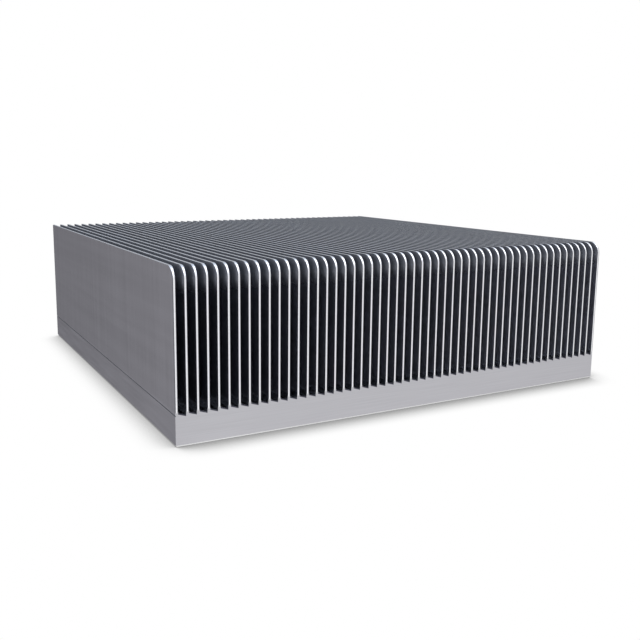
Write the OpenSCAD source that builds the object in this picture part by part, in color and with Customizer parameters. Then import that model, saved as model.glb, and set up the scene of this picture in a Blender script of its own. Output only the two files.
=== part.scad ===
// Skived fin heat sink: one block of aluminium whose fins are pared up from the
// solid and left standing in a close row on the plate that is left below them.
// Fins run along Y with their rounded corners at the front (-Y), and +Z is up.

/* [Base plate] */
// Length of the plate and of the fins
depth = 205; // [60:1:300]
// Thickness of the plate from its seat up to the fin roots
base_t = 11.5; // [6:0.5:25]
// Chamfer round the edges of the seat
seat_chamfer = 0.7; // [0.2:0.1:2]

/* [Fins] */
// Number of fins in the row
fin_count = 52; // [6:1:80]
// Thickness of one fin
fin_t = 1; // [0.5:0.1:2]
// Clear gap between two fins
gap_w = 3; // [1.5:0.1:6]
// Height of the fins above their roots
fin_h = 52.5; // [15:0.5:80]
// Radius of the front top corner of every fin
corner_r = 5; // [1:0.5:12]

/* [Roots] */
// Slope of each gap's floor, which the paring blade leaves behind
floor_angle = 18; // [4:1:30]
// Radius where a floor turns up into the fin that was lifted from it
root_r = 0.5; // [0.2:0.1:0.7]
// Width of the fine line along the roots of the two outer fins
line_w = 0.4; // [0.2:0.1:0.8]
// Depth of that line
line_d = 0.3; // [0.1:0.1:0.45]

/* [Hidden] */

pitch = fin_t + gap_w;
width = fin_count * fin_t + (fin_count - 1) * gap_w;
total_h = base_t + fin_h;
floor_rise = gap_w * tan(floor_angle);
// Distance from the foot of a fin to where the root radius ends
root_reach = root_r / tan(45 + floor_angle / 2);
// How far a cut runs past the surface that it opens
overcut = 1;
arc_fn = 64;
aluminium = [0.78, 0.78, 0.80];

// Outline of the block seen square on, chamfered at the seat
module block_section(length) {
    half = length / 2;
    polygon([
        [-half + seat_chamfer, 0],
        [half - seat_chamfer, 0],
        [half, seat_chamfer],
        [half, total_h],
        [-half, total_h],
        [-half, seat_chamfer]
    ]);
}

// Sliver of metal that rounds the foot of a fin into the sloping floor
module root_fillet() {
    foot = [0, floor_rise];
    centre = [root_r, floor_rise + root_reach];
    along_floor = [cos(floor_angle), -sin(floor_angle)] * root_reach;
    difference() {
        polygon([foot, foot + [0, root_reach], centre, foot + along_floor]);
        translate(centre) circle(root_r, $fn = arc_fn);
    }
}

// One gap: its floor falls from the fin on its left to the fin on its right
module gap_section() {
    difference() {
        polygon([
            [0, floor_rise],
            [gap_w, 0],
            [gap_w, fin_h + overcut],
            [0, fin_h + overcut]
        ]);
        root_fillet();
    }
}

// Fine line where the flat side of an outer fin meets the plate
module root_line() {
    polygon([[0, -line_w / 2], [line_d, 0], [0, line_w / 2]]);
}

// Section across the fins
module comb_section() {
    difference() {
        block_section(width);
        for (i = [0 : fin_count - 2])
            translate([-width / 2 + fin_t + i * pitch, base_t]) gap_section();
        for (side = [0, 1])
            mirror([side, 0]) translate([-width / 2, base_t]) root_line();
    }
}

// Waste outside a rounded corner whose square corner is at the origin
module corner_waste() {
    difference() {
        translate([-overcut, -corner_r]) square(corner_r + overcut);
        translate([corner_r, -corner_r]) circle(corner_r, $fn = arc_fn);
    }
}

// Section along the fins, rounded at the front top corner
module fin_section() {
    difference() {
        block_section(depth);
        translate([-depth / 2, total_h]) corner_waste();
    }
}

module heat_sink() {
    color(aluminium) intersection() {
        rotate([90, 0, 0]) linear_extrude(depth, center = true) comb_section();
        rotate([90, 0, 90]) linear_extrude(width, center = true) fin_section();
    }
}

heat_sink();
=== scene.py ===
import math
import bpy
from mathutils import Matrix, Vector


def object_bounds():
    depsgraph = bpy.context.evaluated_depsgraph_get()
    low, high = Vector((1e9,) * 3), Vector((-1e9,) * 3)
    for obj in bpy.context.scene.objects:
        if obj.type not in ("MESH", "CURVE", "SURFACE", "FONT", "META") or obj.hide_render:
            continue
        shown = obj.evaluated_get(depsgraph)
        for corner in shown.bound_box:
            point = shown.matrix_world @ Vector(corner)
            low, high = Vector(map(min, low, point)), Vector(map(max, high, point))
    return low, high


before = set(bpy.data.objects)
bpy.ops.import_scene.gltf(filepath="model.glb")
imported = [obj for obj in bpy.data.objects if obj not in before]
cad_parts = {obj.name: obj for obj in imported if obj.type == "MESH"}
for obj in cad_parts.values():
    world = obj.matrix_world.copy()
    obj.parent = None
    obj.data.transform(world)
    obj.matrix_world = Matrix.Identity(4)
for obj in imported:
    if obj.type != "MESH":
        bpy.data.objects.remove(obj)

solid_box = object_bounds()

# Heat sink: one block of bare aluminium. A blade as wide as the block pares each fin up from
# the solid, streaked upright. Deep in the gaps the left sides and the floors are smooth and the
# right sides duller. The plate's ends, the fins' rims and the seat are milled afterwards; the
# rims are much lighter than the plate's ends. The outer sides and the gap walls near the fin
# tops are painted darker than the ends, as painted shade.


class Wire:
    """One output in a material. Arithmetic on wires adds Math nodes to it."""

    def __init__(self, tree, socket=None):
        self.tree = tree
        self.socket = socket

    def node(self, kind, settings, inputs, output=0):
        made = self.tree.nodes.new(kind)
        for name, value in settings.items():
            setattr(made, name, value)
        for key, value in inputs.items():
            if isinstance(value, Wire):
                self.tree.links.new(value.socket, made.inputs[key])
            else:
                made.inputs[key].default_value = value
        return Wire(self.tree, made.outputs[output])

    def feed(self, shader, key):
        self.tree.links.new(self.socket, shader.inputs[key])

    def math(self, operation, *values):
        return self.node("ShaderNodeMath", {"operation": operation}, dict(enumerate(values)))

    def __add__(self, other):
        return self.math("ADD", self, other)

    __radd__ = __add__

    def __sub__(self, other):
        return self.math("SUBTRACT", self, other)

    def __rsub__(self, other):
        return self.math("SUBTRACT", other, self)

    def __mul__(self, other):
        return self.math("MULTIPLY", self, other)

    __rmul__ = __mul__

    def __neg__(self):
        return self.math("MULTIPLY", self, -1)

    def __abs__(self):
        return self.math("ABSOLUTE", self)

    def along(self, axis):
        return self.node("ShaderNodeSeparateXYZ", {}, {0: self}, axis)

    def ramp(self, low, high):
        """0 up to low, 1 from high, and smooth between them."""
        inputs = {"Value": self, "From Min": low, "From Max": high}
        return self.node("ShaderNodeMapRange", {"interpolation_type": "SMOOTHSTEP"}, inputs)

    def blend(self, below, above):
        """The colour below where this wire is 0, and above where it is 1."""
        # A Mix node takes its two colours at sockets 6 and 7 and gives their mix at output 2.
        return self.node("ShaderNodeMix", {"data_type": "RGBA"}, {0: self, 6: below, 7: above}, 2)

    def noise(self, settings, inputs):
        """Noise with its middle tones spread out from 0 to 1."""
        return self.node("ShaderNodeTexNoise", settings, {"Scale": 1.0, **inputs}).ramp(0.3, 0.7)

    def grain(self, per_metre, detail):
        """Noise that changes per_metre times along X, Y and Z."""
        drawn = self.node("ShaderNodeVectorMath", {"operation": "MULTIPLY"}, {0: self, 1: per_metre})
        return self.noise({}, {"Vector": drawn, "Detail": detail})


# Sizes in metres. A pair says where a finish begins to come in and where it is full.
plate_top = 0.0115
fin_start = 0.0006
fin_full = 0.0016
fin_pitch = 0.004
gap_width = 0.003
floor_slope = math.tan(math.radians(18))
floor_margin = 0.0005
rim_half = 0.0003
line_core = 0.00024
line_half = 0.0003
edge_blur = 0.00005
outer_skin = 0.0006
skin_blur = 0.0004
below_fin_tops = (0.002, 0.0115)

# How squarely a face looks along an axis: 1 is straight on, 0 is edge on.
square_on = (0.6, 0.8)
seat_on = (0.85, 0.95)
chamfer_on = (0.5, 0.65)
corner_on = (0.65, 0.95)
line_on = (0.4, 0.5)

# Colours, the darker and the lighter marks of each finish and of each painted shade.
# Painted shade: the outer sides are painted darker than the plate's ends, as if turned from the
# light.
side_painted_shade_dark = (0.231, 0.2255, 0.245, 1)
side_painted_shade_light = (0.255, 0.249, 0.27, 1)
# Painted shade: the gap walls near the fin tops are painted dark; further down they take the smooth
# and dull colours.
gap_painted_shade_dark = (0.175, 0.18, 0.202, 1)
gap_painted_shade_light = (0.212, 0.219, 0.245, 1)
smooth_dark = (0.565, 0.573, 0.615, 1)
smooth_light = (0.62, 0.63, 0.676, 1)
dull_dark = (0.455, 0.462, 0.504, 1)
dull_light = (0.497, 0.505, 0.55, 1)
# Painted shade for the dark margins beside the rims and under the gap floors.
margin_shade_dark = (0.05, 0.051, 0.067, 1)
margin_shade_light = (0.068, 0.07, 0.09, 1)
milled_dark = (0.472, 0.468, 0.496, 1)
milled_light = (0.513, 0.508, 0.536, 1)
# The fins' rims and tops are much lighter than the plate's ends.
rim_dark = (0.86, 0.86, 0.88, 1)
rim_light = (0.92, 0.92, 0.94, 1)
seat_dark = (0.5, 0.5, 0.52, 1)
seat_light = (0.66, 0.66, 0.68, 1)
# The seat's chamfer is near white, a pale line along the bottom edges.
pale_chamfer = (0.93, 0.93, 0.94, 1)
line_shade = (0.17, 0.17, 0.182, 1)
grazing_tint = (0.25, 0.25, 0.25, 1)

# Roughness of the milled faces, and what each finish adds to it or takes off.
milled_rough = 0.4
mill_adds = 0.05
pared_adds = 0.12
streaks_add = 0.06
gap_adds = 0.35
smooth_takes = 0.71
dull_takes = 0.2

chatter_share = 0.3
cutter_centre = (0.03, 0.42, 0)
cutter_marks_per_metre = 900
relief_depth = 0.00002
relief_strength = 0.3

heat_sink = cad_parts["heat_sink"]
aluminium = bpy.data.materials.new("bare_aluminium")
aluminium.use_nodes = True
metal = aluminium.node_tree.nodes["Principled BSDF"]
wire = Wire(aluminium.node_tree)
place = wire.node("ShaderNodeTexCoord", {}, {}, "Object")
facing = wire.node("ShaderNodeTexCoord", {}, {}, "Normal")
x = place.along("X")
z = place.along("Z")
facing_x = facing.along("X")
facing_z = facing.along("Z")
half_width, _, total_height = solid_box[1]

# Where each finish lies.
upright = abs(facing_x).ramp(*square_on)
fin = z.ramp(plate_top + fin_start, plate_top + fin_full)
gap_floor = facing_z.ramp(*square_on) * (1 - fin)
pared = wire.math("MAXIMUM", upright, gap_floor)
seat = (-facing_z).ramp(*seat_on)
seat_edge = (-facing_z).ramp(*chamfer_on) * (1 - seat)
in_line = 1 - abs(z - plate_top).ramp(line_core, line_half)
line = in_line * (1 - upright) * abs(facing_x).ramp(*line_on)
inside = 1 - abs(x).ramp(half_width - outer_skin, half_width - outer_skin + skin_blur)
deep = inside * (total_height - z).ramp(*below_fin_tops)
smooth = wire.math("MAXIMUM", gap_floor, deep * (-facing_x).ramp(*square_on))
dull = deep * facing_x.ramp(*square_on)

# Painted shade: dark margins beside the middle of each rim and just under each gap's sloping floor.
across_gap = wire.math("WRAP", x, fin_pitch / 2, -fin_pitch / 2)
off_middle = fin_pitch / 2 - abs(across_gap)
rim_margin = off_middle.ramp(rim_half - edge_blur, rim_half + edge_blur) * fin
rim_margin = rim_margin * (1 - facing_z.ramp(*corner_on))
floor_height = plate_top + (gap_width / 2 - across_gap) * floor_slope
under_floor = (z - floor_height).ramp(-floor_margin - edge_blur, -floor_margin + edge_blur)
under_floor = under_floor * (1 - abs(across_gap).ramp(gap_width / 2 - edge_blur, gap_width / 2))
margin_painted_shade = wire.math("MAXIMUM", rim_margin, under_floor) * (1 - pared)

# Marks of the tools.
blade = place.grain(per_metre=(250, 1400, 14), detail=5)
chatter = place.grain(per_metre=(250, 6, 260), detail=2)
mill = place.grain(per_metre=(30, 30, 2600), detail=3)
rim_mill = place.grain(per_metre=(60, 2200, 2200), detail=3)
from_centre = {0: place, 1: cutter_centre}
sweep = wire.node("ShaderNodeVectorMath", {"operation": "DISTANCE"}, from_centre, "Value")
arcs = wire.noise({"noise_dimensions": "1D"}, {"W": sweep * cutter_marks_per_metre, "Detail": 4})
streaks = fin * ((1 - chatter_share) * blade + chatter_share * chatter) + (1 - fin) * mill

# Painted shade on the outer sides and on the gap walls near the fin tops, over the streaked
# finishes.
pared_colour_and_shade = streaks.blend(side_painted_shade_dark, side_painted_shade_light)
pared_colour_and_shade = inside.blend(pared_colour_and_shade, streaks.blend(gap_painted_shade_dark, gap_painted_shade_light))
pared_colour_and_shade = smooth.blend(pared_colour_and_shade, streaks.blend(smooth_dark, smooth_light))
pared_colour_and_shade = dull.blend(pared_colour_and_shade, streaks.blend(dull_dark, dull_light))
colour = fin.blend(mill.blend(milled_dark, milled_light), rim_mill.blend(rim_dark, rim_light))
colour = pared.blend(colour, pared_colour_and_shade)
colour = margin_painted_shade.blend(colour, streaks.blend(margin_shade_dark, margin_shade_light))
colour = seat.blend(colour, arcs.blend(seat_dark, seat_light))
colour = seat_edge.blend(colour, pale_chamfer)
colour = line.blend(colour, line_shade)
colour.feed(metal, "Base Color")
pared_more = pared_adds + streaks_add * streaks
pared_more = pared_more + inside * (gap_adds - smooth_takes * smooth - dull_takes * dull)
roughness = milled_rough + pared_more * pared + mill_adds * mill * (1 - fin)
roughness.feed(metal, "Roughness")
milled_relief = fin * rim_mill + (1 - fin) * mill
relief = seat * arcs + (1 - seat) * (pared * streaks + (1 - pared) * milled_relief)
bumps = {"Strength": relief_strength, "Distance": relief_depth, "Height": relief}
wire.node("ShaderNodeBump", {}, bumps).feed(metal, "Normal")
metal.inputs["Metallic"].default_value = 1.0
metal.inputs["Specular Tint"].default_value = grazing_tint
heat_sink.data.materials.clear()
heat_sink.data.materials.append(aluminium)

# Floor: a wide white table top. Straight on it shows as plain white, with a painted shadow,
# from how much of the sky the block hides, in the soft dark line where the block stands on it.
floor_reach = 4.0
shade_reach = 0.016
shade_lean = (-0.1, 0.2, 1.0)
shade_samples = 16
shaded_sky = (0.3, 0.95)
shade_grey = (0.3, 0.3, 0.3, 1)
paint_grey = (0.8, 0.8, 0.8, 1)
plain_white = (1, 1, 1, 1)
floor_corners = [(-1, -1), (1, -1), (1, 1), (-1, 1)]
floor_points = [(right * floor_reach, back * floor_reach, 0) for right, back in floor_corners]
floor_mesh = bpy.data.meshes.new("floor")
floor_mesh.from_pydata(floor_points, [], [(0, 1, 2, 3)])
floor = bpy.data.objects.new("floor", floor_mesh)
bpy.context.scene.collection.objects.link(floor)
white = bpy.data.materials.new("white_table")
white.use_nodes = True
floor_mesh.materials.append(white)


def light_path(wire, ray):
    return wire.node("ShaderNodeLightPath", {}, {}, ray)


def shown_white(wire):
    """1 where the camera looks straight, in a mirror or through glass, and 0 for other light."""
    rays = ("Is Camera Ray", "Is Glossy Ray", "Is Transmission Ray")
    straight, mirrored, through = (light_path(wire, ray) for ray in rays)
    return wire.math("MINIMUM", straight + mirrored + through, 1.0)


wire = Wire(white.node_tree)
leaning = wire.node("ShaderNodeCombineXYZ", {}, dict(zip("XYZ", shade_lean)))
near_block = {"Distance": shade_reach, "Normal": leaning}
open_sky = wire.node("ShaderNodeAmbientOcclusion", {"samples": shade_samples}, near_block, "AO")
shade = open_sky.ramp(*shaded_sky).blend(shade_grey, plain_white)
table_colour = light_path(wire, "Is Camera Ray").blend(plain_white, shade)
glow = wire.node("ShaderNodeEmission", {}, {"Color": table_colour, "Strength": 1.0})
paint = wire.node("ShaderNodeBsdfDiffuse", {}, {"Color": paint_grey})
both = wire.node("ShaderNodeMixShader", {}, {0: shown_white(wire), 1: paint, 2: glow})
both.feed(white.node_tree.nodes["Material Output"], "Surface")

# Room: even white light all round, a little cooler overhead. One soft box hangs high at the right
# for the fins' rounded corners, a weak one stands at the left, and a low strip lights the left face.
room_fill = 0.25
overhead = (0.66, 0.766, 0.93, 1)
overhead_from = (0.25, 0.8)
room = bpy.data.worlds.new("room")
bpy.context.scene.world = room
room.use_nodes = True
wire = Wire(room.node_tree)
background = room.node_tree.nodes["Background"]
(room_fill + (1 - room_fill) * shown_white(wire)).feed(background, "Strength")
upward = wire.node("ShaderNodeTexCoord", {}, {}, "Generated").along("Z")
upward.ramp(*overhead_from).blend(plain_white, overhead).feed(background, "Color")
bpy.context.scene.view_settings.view_transform = "Standard"


def softbox(name, at, aim, width, height, watts, tint):
    lamp = bpy.data.lights.new(name, "AREA")
    lamp.shape = "RECTANGLE"
    lamp.size = width
    lamp.size_y = height
    lamp.energy = watts
    lamp.color = tint
    holder = bpy.data.objects.new(name, lamp)
    holder.location = at
    holder.rotation_euler = (Vector(aim) - Vector(at)).to_track_quat("-Z", "Y").to_euler()
    bpy.context.scene.collection.objects.link(holder)


softbox(
    "fill_softbox", at=(-0.8, -0.65, 0.2), aim=(0, -0.1, 0.03),
    width=0.4, height=0.4, watts=3.5, tint=(0.86, 0.92, 1),
)
softbox(
    "top_softbox", at=(0.4, -0.3, 0.75), aim=(0, 0, 0.03),
    width=0.8, height=0.8, watts=4.5, tint=(1, 1, 1),
)
softbox(
    "side_softbox", at=(-0.42, -0.2, 0.055), aim=(-0.1, -0.14, 0.05),
    width=0.3, height=0.1, watts=0.7, tint=(1, 1, 1),
)

# Camera: it stands to the left in front of the block, a little above the fins. Its place, angles
# and focal length were fitted to the fins and to the plate's edges in the photograph.
image_px = 640
focal_px = 777.3
axis_px = Vector((296.5, 295.3))
eye = (-0.18757, -0.3514, 0.09766)
azimuth, elevation, roll = (math.radians(angle) for angle in (-28.03, 9.445, 0.363))
lens = bpy.data.cameras.new("camera")
lens.sensor_width = 36
lens.lens = focal_px / image_px * lens.sensor_width
lens.shift_x = (image_px / 2 - axis_px.x) / image_px
lens.shift_y = (axis_px.y - image_px / 2) / image_px
lens.clip_start = 0.01
camera = bpy.data.objects.new("camera", lens)
bpy.context.scene.collection.objects.link(camera)
bpy.context.scene.camera = camera
turn = Matrix.Rotation(azimuth, 4, "Z") @ Matrix.Rotation(math.pi / 2 - elevation, 4, "X")
camera.matrix_world = Matrix.Translation(eye) @ turn @ Matrix.Rotation(roll, 4, "Z")
